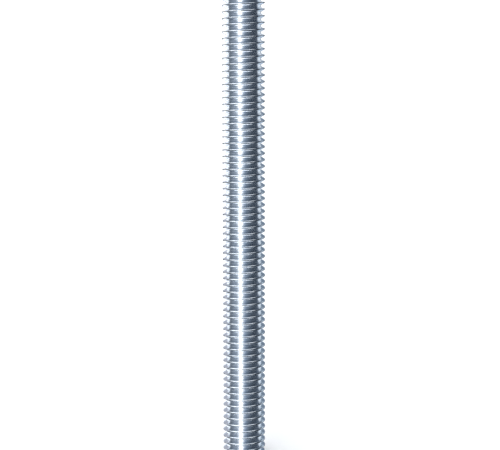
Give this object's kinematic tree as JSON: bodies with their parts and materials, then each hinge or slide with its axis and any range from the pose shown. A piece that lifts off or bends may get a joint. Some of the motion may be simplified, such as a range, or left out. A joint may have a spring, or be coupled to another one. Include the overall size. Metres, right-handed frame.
{
  "type": "threaded rod",
  "caption": "Straight steel rod with one continuous right-hand screw thread from end to end and chamfered ends, for clamping, hanging and joining with nuts.",
  "frame": {"origin": "centre of the lower end face, on the rod's axis", "axes": "+Z along the rod's axis, from the lower end to the upper end"},
  "size_m": [0.0098, 0.0098, 0.108],
  "materials": {
    "zinc_plated_steel": "bright zinc plate with a slight blue cast"
  },
  "bodies": {
    "root": {"threaded_rod": "zinc_plated_steel"}
  },
  "joints": []
}
